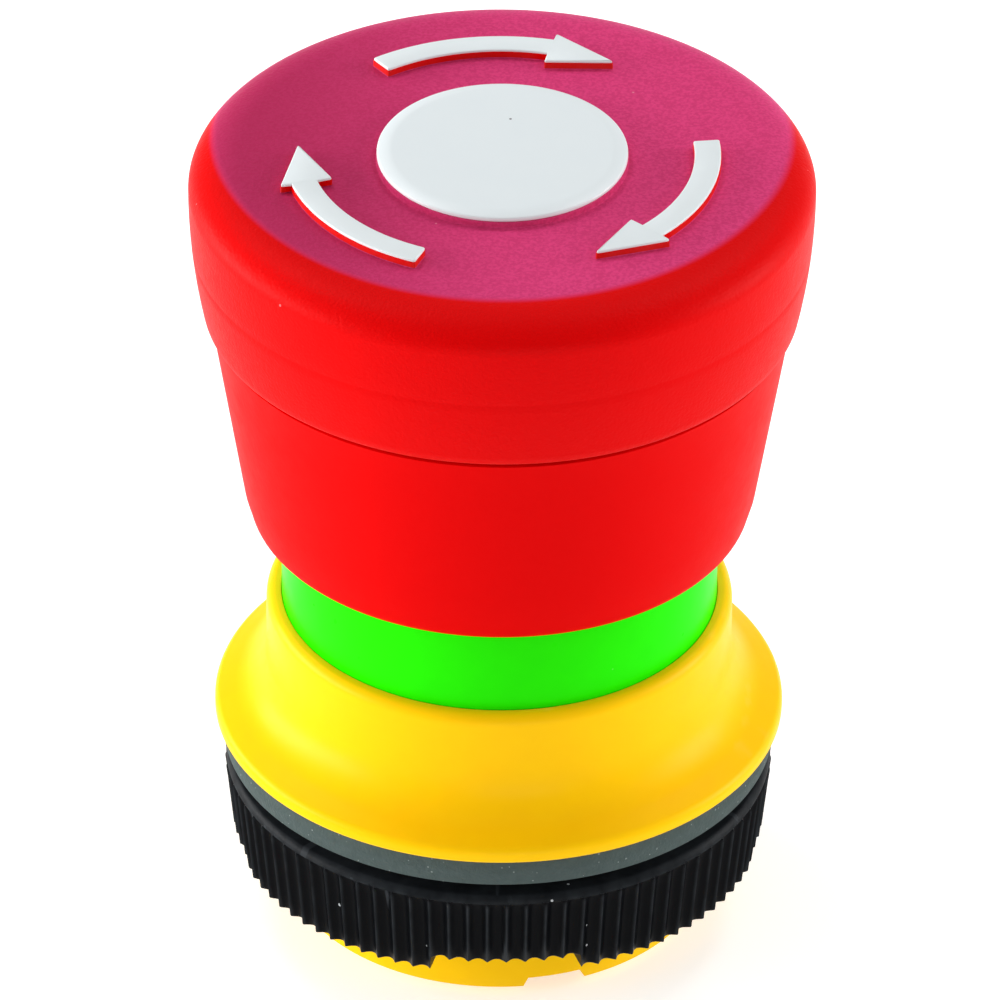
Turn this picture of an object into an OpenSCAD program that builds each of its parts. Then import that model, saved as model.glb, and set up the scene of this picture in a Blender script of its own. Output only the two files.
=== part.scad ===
// Emergency stop actuator for a 22.3 mm panel hole: turn-to-release palm head,
// green position sleeve, yellow bezel, panel gasket and ring nut.
// Z = 0 is the face of the panel, +Z points out of it. The front is -Y.

/* [Head] */
// Largest radius of the palm head
head_r = 16; // [15:0.1:17]
// Height of the flat top face above the panel
face_z = 35.1; // [34.6:0.1:36]
// Width of the rounded top edge
edge_w = 2.6; // [1.5:0.1:3]
// Height of the rounded top edge
edge_h = 1.6; // [1:0.1:3]
// Radius of the white centre disc
disc_r = 6.4; // [5.5:0.1:7]
// How far the centre disc stands proud of the face
disc_proud = 0.7; // [0.3:0.1:1]
// Number of turn arrows on the face
arrow_count = 3; // [2:1:3]

/* [Bezel] */
// Largest radius of the flange
flange_r = 14.8; // [14.5:0.05:15.1]
// Height of the neck's rim above the panel
neck_z = 8.9; // [8.5:0.1:9.2]
// Radius of the neck
neck_r = 12.1; // [12:0.05:12.3]

/* [Travel] */
// Press travel of the head
travel = 4.5; // [3.5:0.1:4.5]
// How far each latch pawl moves in over the press travel
pawl_travel = 0.8; // [0.6:0.05:0.8]

/* [Panel fixing] */
// Radius of the shank that goes through the panel hole
shank_r = 11; // [10.9:0.05:11.1]
// Gap between the gasket and the ring nut
panel_gap = 0.85; // [0.85:0.05:1]
// Number of ribs round the ring nut
rib_count = 88; // [72:4:96]
// Tool notches in the ring nut
nut_notches = 4; // [2:1:6]

/* [Hidden] */
$fn = 96;
eps = 0.02;                        // overlap that makes a cut clean

// head, from the top down
cap_z = face_z - 8.5;              // the cap's lower edge
cap_low_r = head_r - 0.73;
skirt_top_r = cap_low_r - 0.3;
skirt_z = 14.2;                    // the skirt's lower rim
skirt_low_r = skirt_top_r - 0.16 * (cap_z - skirt_z);
cap_bore_r = head_r - 2.05;
cap_room_r = head_r - 3.4;
ledge_z = cap_z + 2.5;
ceiling_z = face_z - 1.8;
plate_z = ledge_z - 2;             // the hub's plate lies between the skirt and the cap's ledge
plate_r = cap_bore_r - 0.05;
hub_r = 5;
hub_z = 16.65;
peg_r = 1.55;
disc_depth = 0.6;
pad_h = 0.38;                      // height of the raised red arrow pads
inlay_h = 0.12;                    // thickness of the white arrow faces
key_w = 2;
key_count = 3;

// sliding stem and sleeve
sleeve_r = 11.3;
sleeve_wall = 1;
sleeve_z = 7;
web_z = 15.2;                      // underside of the sleeve's web
web_t = 1;
journal_r = 3;
seat_r = 3.6;
flange_low_z = 14;
stem_r = 3.4;
journal_top_z = 30.2;
clip_z = ledge_z + 0.05;           // the clip that holds the head on the stem
clip_t = 0.7;
clip_groove_r = 2.5;
pusher_z = -8.1;
pusher_t = 1.1;
pusher_r = 8.4;
stub_r = 2.2;
stub_z = -8.8;
foot_clip_t = 0.4;
foot_groove_r = 1.85;

// housing
gasket_t = 1.65;
gasket_r = flange_r - 0.35;
bore_r = sleeve_r + 0.1;
lip_r = 9;                         // the bezel's inward lip rests on the bulkhead
lip_t = 0.7;
bulk_z = 0.45;                     // the bulkhead across the top of the shank
shank_z = -8.9;
shank_in_r = 9.6;
ledge_in_r = 8.8;                  // above the latch carrier the shank is narrower inside
spigot_in_r = 7.9;
collar_r = shank_r + 0.6;          // the shank is wider where the gasket sits
bush_r = 4.6;
bush_in_r = stem_r + 0.05;
bush_top_z = 4.2;
pawl_z = -5.6;                     // middle height of the latch pawls
pawl_h = 1.8;
pawl_w = 2.2;
pawl_in_r = stem_r + 0.1;
pawl_out_r = 7;
slot_gap = 0.05;
carrier_low_z = -6.75;
carrier_top_z = -4.45;
ring_groove_r = 10;
ring_t = 0.55;
spring_seat_r = 9.2;
thread_pitch = 1.5;
thread_depth = 0.6;
thread_low_z = -5.9;
thread_turns = 4;
bayonet_count = 4;
bayonet_h = 0.5;
bayonet_deg = 16;
bayonet_at = -74;                  // the front bayonet notch, degrees from +X

// ring nut
nut_top_z = -panel_gap;
nut_h = 5.3;
nut_low_z = nut_top_z - nut_h;
nut_r = flange_r - 0.5;
nut_taper = 0.5;
rib_depth = 0.36;
nut_bore_r = shank_r + 0.1;
nut_rim_h = 0.5;                   // plain rim above the ribs
nut_notch_h = 0.8;
nut_notch_deg = 33;
nut_notch_at = -88;

// springs: mean radius, wire radius, coils
return_spring_r = 7;
return_wire_r = 0.4;
return_coils = 6;
turn_spring_r = 6.6;
turn_wire_r = 0.35;
turn_coils = 4;
latch_spring_r = 0.62;
latch_wire_r = 0.13;
latch_coils = 5;

// points along an arc round (cx, cy), from angle a0 to a1
function arc(cx, cy, r, a0, a1, n = 8) =
    [for (i = [0:n]) [cx + r * cos(a0 + (a1 - a0) * i / n), cy + r * sin(a0 + (a1 - a0) * i / n)]];

// a flat ring between two radii
module ring(r_out, r_in, z0, z1) {
    translate([0, 0, z0]) difference() {
        cylinder(r = r_out, h = z1 - z0);
        translate([0, 0, -1]) cylinder(r = r_in, h = z1 - z0 + 2);
    }
}

// a wedge of a ring, from angle a0 to a1
module ring_sector(r_out, r_in, z0, z1, a0, a1) {
    n = 6;
    translate([0, 0, z0]) linear_extrude(height = z1 - z0)
        polygon(concat(arc(0, 0, r_out, a0, a1, n), arc(0, 0, r_in, a1, a0, n)));
}

// a helical wire spring with flat closed ends, standing on z0
module coil_spring(r, wire_r, coils, z0, z1, steps = 20, sides = 8) {
    n = floor(coils * steps);
    low = z0 + wire_r;
    high = z1 - wire_r;
    dead = 0.75;                   // turns at each end that lie flat
    function lift(t) = let (u = (t - dead) / (coils - 2 * dead)) low + (high - low) * max(0, min(1, u));
    function wire_ring(i) = let (t = i / steps, a = 360 * t)
        [for (k = [0:sides - 1]) let (b = 360 * k / sides)
            [(r + wire_r * cos(b)) * cos(a), (r + wire_r * cos(b)) * sin(a), lift(t) + wire_r * sin(b)]];
    points = [for (i = [0:n]) each wire_ring(i)];
    walls = [for (i = [0:n - 1]) for (k = [0:sides - 1]) let (m = (k + 1) % sides)
        [i * sides + k, (i + 1) * sides + k, (i + 1) * sides + m, i * sides + m]];
    ends = [[for (k = [0:sides - 1]) k], [for (k = [sides - 1:-1:0]) n * sides + k]];
    polyhedron(points = points, faces = concat(walls, ends), convexity = 10);
}

// ---- head ----

// rounded top edge, then a side wall that curves in towards the cap's lower edge
cap_edge = [for (i = [0:8]) let (a = i * 90 / 8)
    [head_r - edge_w + edge_w * sin(a), face_z - edge_h + edge_h * cos(a)]];
cap_side = [for (i = [1:6]) let (t = i / 6)
    [head_r - (head_r - cap_low_r) * t * t, face_z - edge_h - (face_z - edge_h - cap_z) * t]];
cap_profile = concat([[0, ceiling_z], [0, face_z]], cap_edge, cap_side,
    [[cap_bore_r, cap_z], [cap_bore_r, ledge_z], [cap_room_r, ledge_z], [cap_room_r, ceiling_z]]);

// one turn arrow, seen from above, pointing clockwise
module arrow_outline() {
    n = 8;
    tail = 127;
    neck = 76.5;
    tip = 56.5;
    polygon(concat(arc(0, 0, 11.15, tail, neck, n), [[11.7 * cos(neck), 11.7 * sin(neck)]],
        [[10.4 * cos(tip), 10.4 * sin(tip)]], [[9 * cos(neck), 9 * sin(neck)]],
        arc(0, 0, 9.75, neck, tail, n)));
}

module head_cap() color("red") {
    difference() {
        union() {
            rotate_extrude() polygon(cap_profile);
            for (i = [0:arrow_count - 1]) rotate([0, 0, -i * 360 / arrow_count])
                translate([0, 0, face_z - 0.2]) linear_extrude(height = 0.2 + pad_h) arrow_outline();
            for (i = [0:key_count - 1]) rotate([0, 0, 30 + i * 360 / key_count])
                translate([cap_room_r, -key_w / 2, plate_z]) cube([1.6, key_w, ledge_z - plate_z + eps]);
        }
        translate([0, 0, face_z - disc_depth]) cylinder(r = disc_r + 0.05, h = 2);
        translate([0, 0, ceiling_z - 1]) cylinder(r = peg_r, h = 3);
    }
}

module arrow_inlays() color("whitesmoke") {
    for (i = [0:arrow_count - 1]) rotate([0, 0, -i * 360 / arrow_count])
        translate([0, 0, face_z + pad_h]) linear_extrude(height = inlay_h) arrow_outline();
}

module centre_disc() color("whitesmoke") {
    top = face_z + disc_proud;
    low = face_z - disc_depth;
    rotate_extrude() polygon(concat(
        [[0, low - 2.6], [peg_r - 0.35, low - 2.6], [peg_r, low - 2.2], [peg_r, low], [disc_r, low]],
        arc(disc_r - 0.6, top - 0.6, 0.6, 0, 90, 6), [[0, top]]));
}

module head_skirt() color("red") {
    wall = 1.35;
    rotate_extrude() polygon(concat(
        [[skirt_top_r, cap_z], [cap_bore_r - 0.05, cap_z], [cap_bore_r - 0.05, plate_z],
        [cap_room_r, plate_z],
         [cap_room_r, cap_z - 2], [skirt_low_r - wall, skirt_z + 0.5], [skirt_low_r - wall + 0.4, skirt_z]],
        arc(skirt_low_r - 0.6, skirt_z + 0.6, 0.6, -90, -10, 5)));
}

module head_hub() color("dimgray") {
    difference() {
        union() {
            translate([0, 0, hub_z]) cylinder(r = hub_r, h = ledge_z - hub_z);
            translate([0, 0, plate_z]) cylinder(r = plate_r, h = ledge_z - plate_z);
            for (i = [0:2]) rotate([0, 0, 90 + i * 120])
                translate([hub_r - 1, -0.6, plate_z - 4]) cube([6, 1.2, 4 + eps]);
        }
        translate([0, 0, hub_z - 1]) cylinder(r = journal_r + 0.05, h = ledge_z - hub_z + 2);
        for (i = [0:key_count - 1]) rotate([0, 0, 30 + i * 360 / key_count])
            translate([cap_room_r - 0.05, -key_w / 2 - 0.05, plate_z - 1]) cube([3, key_w + 0.1, 5]);
        for (i = [0:2]) rotate([0, 0, 90 + i * 120 - 60])
            translate([9, 0, plate_z - 1]) cylinder(r = 1.8, h = 5);
    }
}

// ---- sliding stem ----

module stem() color("silver") {
    cone_low = pawl_z;
    cone_top = pawl_z + travel;
    thin_r = stem_r - pawl_travel; // the latch groove: a cone that lets the pawls in
    rotate_extrude() polygon([
        [0, stub_z], [stub_r - 0.3, stub_z], [stub_r, stub_z + 0.3],
        [stub_r, pusher_z - foot_clip_t], [foot_groove_r, pusher_z - foot_clip_t],
        [foot_groove_r, pusher_z], [stub_r, pusher_z], [stub_r, pusher_z + pusher_t],
        [stem_r, pusher_z + pusher_t], [stem_r, cone_low], [thin_r, cone_top], [thin_r, cone_top + 0.5],
        [stem_r, cone_top + 1.3],
        [stem_r, flange_low_z], [hub_r, flange_low_z], [hub_r, web_z], [seat_r, web_z],
        [seat_r, web_z + web_t],
        [journal_r, web_z + web_t], [journal_r, clip_z - 0.02], [clip_groove_r, clip_z - 0.02],
        [clip_groove_r, clip_z + clip_t + 0.02], [journal_r, clip_z + clip_t + 0.02],
        [journal_r, journal_top_z - 0.4], [journal_r - 0.4, journal_top_z], [0, journal_top_z]]);
}

module indicator_sleeve() color("lime") {
    difference() {
        union() {
            ring(sleeve_r, sleeve_r - sleeve_wall, sleeve_z, web_z + web_t);
            ring(sleeve_r - 0.5, seat_r, web_z, web_z + web_t);
        }
        for (i = [0:5]) rotate([0, 0, 30 + i * 60]) translate([7.2, 0, web_z - 1]) cylinder(r = 1.1, h = 3);
    }
}

module thrust_washer() color("tan") ring(hub_r, journal_r + 0.1, web_z + web_t, hub_z - 0.05);

// a split retaining ring that sits in a groove
module retaining_clip(r_out, r_in, z, t, gap) {
    difference() {
        ring(r_out, r_in, z, z + t);
        translate([0, -gap / 2, z - 1]) cube([r_out + 1, gap, t + 2]);
    }
}

module stem_clip() color("gray") retaining_clip(4.2, clip_groove_r, clip_z, clip_t, 2.4);

module turn_spring() color("silver")
    coil_spring(turn_spring_r, turn_wire_r, turn_coils, web_z + web_t, plate_z - 4.05);

module pusher() color("gold") {
    difference() {
        union() {
            ring(pusher_r, pusher_r - 1.4, pusher_z, pusher_z + pusher_t);
            ring(4, stub_r, pusher_z, pusher_z + pusher_t);
            for (i = [0:3]) rotate([0, 0, i * 90])
                translate([3, -1.3, pusher_z]) cube([pusher_r - 3.8, 2.6, pusher_t]);
        }
        translate([0, 0, pusher_z - 1]) cylinder(r = stub_r, h = 4);
    }
}

module pusher_clip() color("gray")
    retaining_clip(3.4, foot_groove_r, pusher_z - foot_clip_t, foot_clip_t, 1.6);

// ---- housing ----

module bezel() color("gold") {
    rim = 0.6;
    edge = 0.5;                    // rounding of the flange's outer edge
    dish = 2.9;                    // radius of the hollow curve between flange and neck
    slope = 66;
    rotate_extrude() polygon(concat(
        [[lip_r, gasket_t], [flange_r - 0.13, gasket_t], [flange_r, gasket_t + 0.15]],
        arc(flange_r - edge, gasket_t + 0.45, edge, 0, slope, 5),
        arc(neck_r + dish, neck_z - 3.35, dish, 180 + slope, 180, 8),
        arc(neck_r - rim, neck_z - rim, rim, 0, 85, 4),
        [[bore_r + 0.05, neck_z], [bore_r, neck_z - 0.05], [bore_r, gasket_t + lip_t],
         [lip_r, gasket_t + lip_t]]));
}

module panel_gasket() color("slategray") ring(gasket_r, collar_r + 0.05, 0, gasket_t);

module rear_body() color("gold") {
    difference() {
        rotate_extrude() polygon(concat(
            [[bush_r, bulk_z], [ledge_in_r, bulk_z], [ledge_in_r, carrier_top_z], [shank_in_r, carrier_top_z],
             [shank_in_r, carrier_low_z], [ring_groove_r, carrier_low_z],
             [ring_groove_r, carrier_low_z - ring_t],
             [shank_in_r, carrier_low_z - ring_t], [shank_in_r, shank_z], [shank_r, shank_z]],
            [for (i = [0:thread_turns - 1]) let (z = thread_low_z + i * thread_pitch)
                each [[shank_r, z - 0.4], [shank_r - thread_depth, z - 0.06],
                      [shank_r - thread_depth, z + 0.06],
                      [shank_r, z + 0.4]]],
            [[shank_r, 0], [collar_r, 0], [collar_r, gasket_t], [lip_r - 0.05, gasket_t],
             [lip_r - 0.05, gasket_t + lip_t], [lip_r + 0.1, gasket_t + lip_t],
             [lip_r - 0.15, gasket_t + lip_t + 0.55], [spigot_in_r, gasket_t + lip_t + 0.55],
             [spigot_in_r, gasket_t], [bush_r, gasket_t]]));
        for (i = [0:bayonet_count - 1])
            ring_sector(shank_r + 1, shank_in_r - 1, shank_z - 1, shank_z + bayonet_h,
                bayonet_at - bayonet_deg / 2 + i * 360 / bayonet_count,
                bayonet_at + bayonet_deg / 2 + i * 360 / bayonet_count);
    }
}

module guide_bush() color("white") {
    rotate_extrude() polygon([[bush_in_r, -0.6], [bush_r, -0.6], [bush_r, gasket_t], [bush_r + 1, gasket_t],
        [bush_r + 1, gasket_t + 0.75], [bush_r, gasket_t + 0.75],
        [bush_r, bush_top_z], [bush_in_r, bush_top_z]]);
}

module stem_seal() color("black") {
    rotate_extrude() polygon([[bush_in_r, bush_top_z], [bush_r + 0.6, bush_top_z],
        [bush_r + 0.6, bush_top_z + 0.5],
        [bush_in_r + 0.9, bush_top_z + 0.6], [bush_in_r + 0.4, bush_top_z + 1.4],
        [bush_in_r, bush_top_z + 1.4]]);
}

module return_spring() color("silver")
    coil_spring(return_spring_r, return_wire_r, return_coils, gasket_t, web_z);

module latch_carrier() color("dimgray") {
    difference() {
        ring(shank_in_r - 0.05, stem_r + 1, carrier_low_z, carrier_top_z);
        for (side = [0, 180]) rotate([0, 0, side])
            translate([0, -pawl_w / 2 - slot_gap, pawl_z - pawl_h / 2 - slot_gap])
                cube([spring_seat_r, pawl_w + 2 * slot_gap, pawl_h + 2 * slot_gap]);
    }
}

module carrier_ring() color("gray")
    retaining_clip(ring_groove_r - 0.05, ledge_in_r + 0.1, carrier_low_z - ring_t, ring_t, 4);

// one latch pawl, on the +X side; its nose rides on the stem
module pawl() {
    difference() {
        intersection() {
            translate([0, -pawl_w / 2, pawl_z - pawl_h / 2]) cube([pawl_out_r, pawl_w, pawl_h]);
            rotate_extrude() polygon([[pawl_in_r, pawl_z - 0.35], [pawl_in_r + 0.6, pawl_z - 1],
                [12, pawl_z - 1],
                [12, pawl_z + 1], [pawl_in_r + 0.6, pawl_z + 1], [pawl_in_r, pawl_z + 0.35]]);
        }
        translate([pawl_out_r - 0.6, 0, pawl_z]) rotate([0, 90, 0]) cylinder(r = 0.8, h = 2);
    }
}

module latch_pawl_left() color("silver") rotate([0, 0, 180]) pawl();
module latch_pawl_right() color("silver") pawl();

module latch_spring() {
    translate([0, 0, pawl_z]) rotate([0, 90, 0])
        coil_spring(latch_spring_r, latch_wire_r, latch_coils, pawl_out_r - 0.6, spring_seat_r, 12, 6);
}

module latch_spring_left() color("silver") rotate([0, 0, 180]) latch_spring();
module latch_spring_right() color("silver") latch_spring();

// ---- ring nut ----

// the nut's outline: narrow ribs between wide hollow flutes
module ribbed_outline() {
    step = 360 / rib_count;
    polygon([for (i = [0:rib_count - 1])
        for (p = [[-0.5, rib_depth], [-0.25, rib_depth * 0.8], [-0.08, 0], [0.08, 0],
                 [0.25, rib_depth * 0.8]])
            let (a = step * (i + p[0]), r = nut_r - p[1]) [r * cos(a), r * sin(a)]]);
}

module fixing_nut() color([0.1, 0.1, 0.1]) {
    difference() {
        union() {
            intersection() {
                translate([0, 0, nut_low_z]) linear_extrude(height = nut_h - nut_rim_h / 2) ribbed_outline();
                translate([0, 0, nut_low_z])
                    cylinder(r1 = nut_r - nut_taper, r2 = nut_r, h = nut_h - nut_rim_h / 2);
            }
            translate([0, 0, nut_top_z - nut_rim_h])
                cylinder(r1 = nut_r - 0.04, r2 = nut_r - 0.34, h = nut_rim_h);
        }
        translate([0, 0, nut_low_z - 1]) cylinder(r = nut_bore_r, h = nut_h + 2);
        for (i = [0:nut_notches - 1])
            ring_sector(nut_r + 1, nut_bore_r - 1, nut_low_z - 1, nut_low_z + nut_notch_h,
                nut_notch_at - nut_notch_deg / 2 + i * 360 / nut_notches,
                nut_notch_at + nut_notch_deg / 2 + i * 360 / nut_notches);
    }
}

head_cap();
arrow_inlays();
centre_disc();
head_skirt();
head_hub();
stem();
indicator_sleeve();
thrust_washer();
stem_clip();
turn_spring();
pusher();
pusher_clip();
bezel();
panel_gasket();
rear_body();
guide_bush();
stem_seal();
return_spring();
latch_carrier();
carrier_ring();
latch_pawl_left();
latch_pawl_right();
latch_spring_left();
latch_spring_right();
fixing_nut();
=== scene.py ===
import math

import bmesh
import bpy
from bpy.props import FloatProperty, FloatVectorProperty, IntProperty, PointerProperty
from mathutils import Matrix, Quaternion, Vector


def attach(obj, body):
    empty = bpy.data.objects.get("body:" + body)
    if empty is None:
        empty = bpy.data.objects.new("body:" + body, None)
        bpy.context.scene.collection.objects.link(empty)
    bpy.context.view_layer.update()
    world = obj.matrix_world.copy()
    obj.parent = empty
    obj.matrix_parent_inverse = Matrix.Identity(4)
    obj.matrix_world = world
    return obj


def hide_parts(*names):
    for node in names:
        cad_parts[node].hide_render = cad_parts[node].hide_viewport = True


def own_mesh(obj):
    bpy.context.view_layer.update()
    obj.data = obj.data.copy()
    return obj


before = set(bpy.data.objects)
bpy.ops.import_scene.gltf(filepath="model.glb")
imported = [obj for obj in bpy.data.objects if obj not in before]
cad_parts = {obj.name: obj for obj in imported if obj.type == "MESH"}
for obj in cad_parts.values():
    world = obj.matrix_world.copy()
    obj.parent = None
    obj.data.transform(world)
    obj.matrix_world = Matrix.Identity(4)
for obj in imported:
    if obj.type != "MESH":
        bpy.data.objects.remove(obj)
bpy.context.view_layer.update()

bl_info = {
    "name": "Emergency stop button",
    "version": (1, 0, 0),
    "blender": (4, 5, 0),
    "location": "3D View > Sidebar > Stop button",
    "description": "Builds the visible pieces of a turn-to-release emergency stop button",
    "category": "Add Mesh",
}

MM = 0.001
TURNS = 192  # steps round the axis of a turned piece


# ---- settings ----

def size(name, text, value, low=0.0):
    """A length in metres, from a value in millimetres."""
    return FloatProperty(name=name, description=text, default=value * MM, min=low, unit="LENGTH", precision=5)


def tint(name, text, value):
    """A colour of a finish."""
    return FloatVectorProperty(name=name, description=text, default=value, subtype="COLOR", size=3,
                               min=0, max=1)


class HeadSettings(bpy.types.PropertyGroup):
    """Sizes of the palm head."""

    radius: size("Head radius", "Largest radius of the palm head", 16.0)
    face: size("Face height", "Height of the flat top face above the panel", 35.1)
    edge_width: size("Edge width", "Width of the rounded top edge", 2.6)
    edge_height: size("Edge height", "Height of the rounded top edge", 1.6)
    disc_radius: size("Disc radius", "Radius of the white centre disc", 6.4)
    disc_top: size("Disc height", "Height of the centre disc's top above the panel", 35.8)
    arrow_count: IntProperty(name="Arrows", description="Number of turn arrows on the face", default=3,
                             min=1, max=3)
    pad_height: size("Pad height", "Height of the raised arrow pads", 0.38)
    inlay_height: size("Inlay height", "Thickness of the white arrow faces", 0.12)


class HousingSettings(bpy.types.PropertyGroup):
    """Sizes of the bezel, gasket, shank and ring nut."""

    flange: size("Flange radius", "Largest radius of the bezel", 14.8)
    neck: size("Neck radius", "Outer radius of the bezel's neck", 12.1)
    neck_top: size("Neck height", "Height of the bezel's rim above the panel", 8.9)
    gasket: size("Gasket thickness", "Thickness of the panel gasket", 1.65)
    shank: size("Shank radius", "Radius of the shank that goes through the panel", 11.0)
    nut: size("Nut radius", "Crest radius of the ring nut's ribs", 14.3)
    ribs: IntProperty(name="Ribs", description="Number of ribs round the ring nut", default=88, min=12)
    rib_depth: size("Rib depth", "Depth of the flutes between the ribs", 0.36)
    notches: IntProperty(name="Notches", description="Tool notches in the ring nut", default=4, min=1)


class FinishSettings(bpy.types.PropertyGroup):
    """Colours of the finishes."""

    red: tint("Head red", "Colour of the palm head", (0.67, 0.0006, 0.0009))
    # Painted sheen: the crimson face tint stands for a broad reflection of cool light on the flat top face;
    # the plastic itself is the head red.
    face: tint("Face tint", "Cooler tone of the flat top face", (0.68, 0.053, 0.20))
    white: tint("Disc white", "Colour of the centre disc and the arrows", (0.73, 0.785, 0.80))
    green: tint("Sleeve green", "Colour of the position sleeve", (0.018, 0.78, 0.0))
    yellow: tint("Bezel yellow", "Colour of the bezel and shank", (0.95, 0.56, 0.001))
    grey: tint("Gasket grey", "Colour of the gasket", (0.066, 0.090, 0.087))
    black: tint("Nut black", "Colour of the ring nut", (0.0016, 0.0018, 0.0026))
    steel: tint("Steel", "Colour of the bare metal pieces", (0.52, 0.52, 0.53))
    nylon: tint("Natural nylon", "Colour of the bush and washer", (0.70, 0.67, 0.58))


# ---- shapes ----

def arc(cx, cy, r, a0, a1, n=8):
    """Points along an arc, angles in degrees."""
    out = []
    for i in range(n + 1):
        a = math.radians(a0 + (a1 - a0) * i / n)
        out.append((cx + r * math.cos(a), cy + r * math.sin(a)))
    return out


def rounded(corners, steps=5):
    """A closed outline from (x, y, radius) corners, each rounded with its radius."""
    out, n = [], len(corners)
    for i, (x, y, radius) in enumerate(corners):
        p = Vector((x, y))
        a = Vector(corners[i - 1][:2]) - p
        b = Vector(corners[(i + 1) % n][:2]) - p
        if radius <= 0 or a.length < 1e-9 or b.length < 1e-9:
            out.append((x, y))
            continue
        half = a.angle(b) / 2
        cut = min(radius / math.tan(half), a.length * 0.49, b.length * 0.49)
        start, end = p + a.normalized() * cut, p + b.normalized() * cut
        for k in range(steps + 1):
            t = k / steps
            out.append(tuple(start.lerp(p, t).lerp(p.lerp(end, t), t)))
    return out


def finish_mesh(obj, sharp=32.0):
    """Welds a piece, turns its faces outwards and shades it smooth except at real edges."""
    bm = bmesh.new()
    bm.from_mesh(obj.data)
    bmesh.ops.remove_doubles(bm, verts=bm.verts, dist=1e-7)
    bmesh.ops.recalc_face_normals(bm, faces=bm.faces)
    bm.to_mesh(obj.data)
    bm.free()
    obj.data.polygons.foreach_set("use_smooth", [True] * len(obj.data.polygons))
    obj.data.set_sharp_from_angle(angle=math.radians(sharp))
    obj.data.update()
    return obj


def new_object(name, verts, faces):
    """An object in the scene from vertices and faces."""
    mesh = bpy.data.meshes.new(name)
    mesh.from_pydata(verts, [], faces)
    obj = bpy.data.objects.new(name, mesh)
    bpy.context.scene.collection.objects.link(obj)
    return obj


def turned(name, outline, turns=TURNS, sharp=32.0, shift=None, closed=True):
    """A piece turned round the Z axis from an outline of (r, z) points in mm.

    shift moves a point by its r, z and angle. An outline that isn't closed starts and ends on the axis.
    """
    verts, faces, n = [], [], len(outline)
    for t in range(turns):
        a = 2 * math.pi * t / turns
        for r, z in outline:
            if shift:
                r, z = shift(r, z, a)
            verts.append((r * math.cos(a) * MM, r * math.sin(a) * MM, z * MM))
    for t in range(turns):
        u = (t + 1) % turns
        for i in range(n if closed else n - 1):
            j = (i + 1) % n
            faces.append((t * n + i, u * n + i, u * n + j, t * n + j))
    return finish_mesh(new_object(name, verts, faces), sharp)


def join(name, objects):
    """One object from several, in the order given."""
    bm = bmesh.new()
    for o in objects:
        bm.from_mesh(o.data)
    mesh = bpy.data.meshes.new(name)
    bm.to_mesh(mesh)
    bm.free()
    for o in objects:
        bpy.data.objects.remove(o)
    obj = bpy.data.objects.new(name, mesh)
    bpy.context.scene.collection.objects.link(obj)
    return obj


def raised(name, outline, z0, z1, bevel):
    """A flat plate with a rounded upper edge from a plan outline, all in mm."""
    steps, n = 3, len(outline)

    def inset(d):
        out = []
        for i in range(n):
            p, a, b = Vector(outline[i]), Vector(outline[i - 1]), Vector(outline[(i + 1) % n])
            e, f = (p - a).normalized(), (b - p).normalized()
            na, nb = Vector((-e.y, e.x)), Vector((-f.y, f.x))
            m = na + nb
            m = m / max(0.35, m.dot(na)) if m.length > 1e-6 else na
            out.append(p + m * d)
        return out

    area = sum(outline[i - 1][0] * outline[i][1] - outline[i][0] * outline[i - 1][1] for i in range(n))
    sign = 1 if area > 0 else -1
    rings = [(inset(0.0), z0)]
    for k in range(steps + 1):
        a = math.pi / 2 * k / steps
        rings.append((inset(sign * bevel * (1 - math.cos(a))), z1 - bevel * (1 - math.sin(a))))
    verts = [(p[0] * MM, p[1] * MM, z * MM) for ring, z in rings for p in ring]
    faces = []
    for k in range(len(rings) - 1):
        for i in range(n):
            j = (i + 1) % n
            faces.append((k * n + i, k * n + j, (k + 1) * n + j, (k + 1) * n + i))
    faces.append(tuple(range(n - 1, -1, -1)))
    faces.append(tuple((len(rings) - 1) * n + i for i in range(n)))
    return finish_mesh(new_object(name, verts, faces), 40)


def arrow_outline(shrink=0.0):
    """Plan of one turn arrow in mm, seen from above, pointing clockwise, with slightly rounded corners."""
    tail, neck, tip = 127.0, 76.5, 56.5  # degrees
    band, barbs, tip_r = (9.75, 11.15), (8.95, 11.75), 10.42
    outer = arc(0, 0, band[1] - shrink, tail - shrink * 5, neck, 18)
    inner = arc(0, 0, band[0] + shrink, neck, tail - shrink * 5, 18)

    def at(r, a):
        return (r * math.cos(math.radians(a)), r * math.sin(math.radians(a)))

    head = [at(barbs[1] - shrink * 1.6, neck - shrink * 4), at(tip_r, tip + shrink * 11),
            at(barbs[0] + shrink * 1.6, neck - shrink * 4)]
    corners = [(x, y, 0.0) for x, y in outer]
    corners += [(x, y, 0.09) for x, y in head]
    corners += [(x, y, 0.0) for x, y in inner]
    corners[0] = (*corners[0][:2], 0.12)
    corners[-1] = (*corners[-1][:2], 0.12)
    return rounded(corners, 3)


# ---- geometry node groups ----

def new_geometry_group(name, inputs):
    """An empty geometry tree with its named inputs."""
    tree = bpy.data.node_groups.new(name, "GeometryNodeTree")
    tree.interface.new_socket("Geometry", in_out="INPUT", socket_type="NodeSocketGeometry")
    for label, kind, value in inputs:
        s = tree.interface.new_socket(label, in_out="INPUT", socket_type=kind)
        if value is not None:
            s.default_value = value
    tree.interface.new_socket("Geometry", in_out="OUTPUT", socket_type="NodeSocketGeometry")
    return tree


def math_node(tree, operation, a, b=None, c=None):
    """A Math node's result, from numbers or sockets."""
    node = tree.nodes.new("ShaderNodeMath")
    node.operation = operation
    for i, v in enumerate((a, b, c)):
        if v is None:
            continue
        if isinstance(v, (int, float)):
            node.inputs[i].default_value = v
        else:
            tree.links.new(v, node.inputs[i])
    return node.outputs[0]


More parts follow.
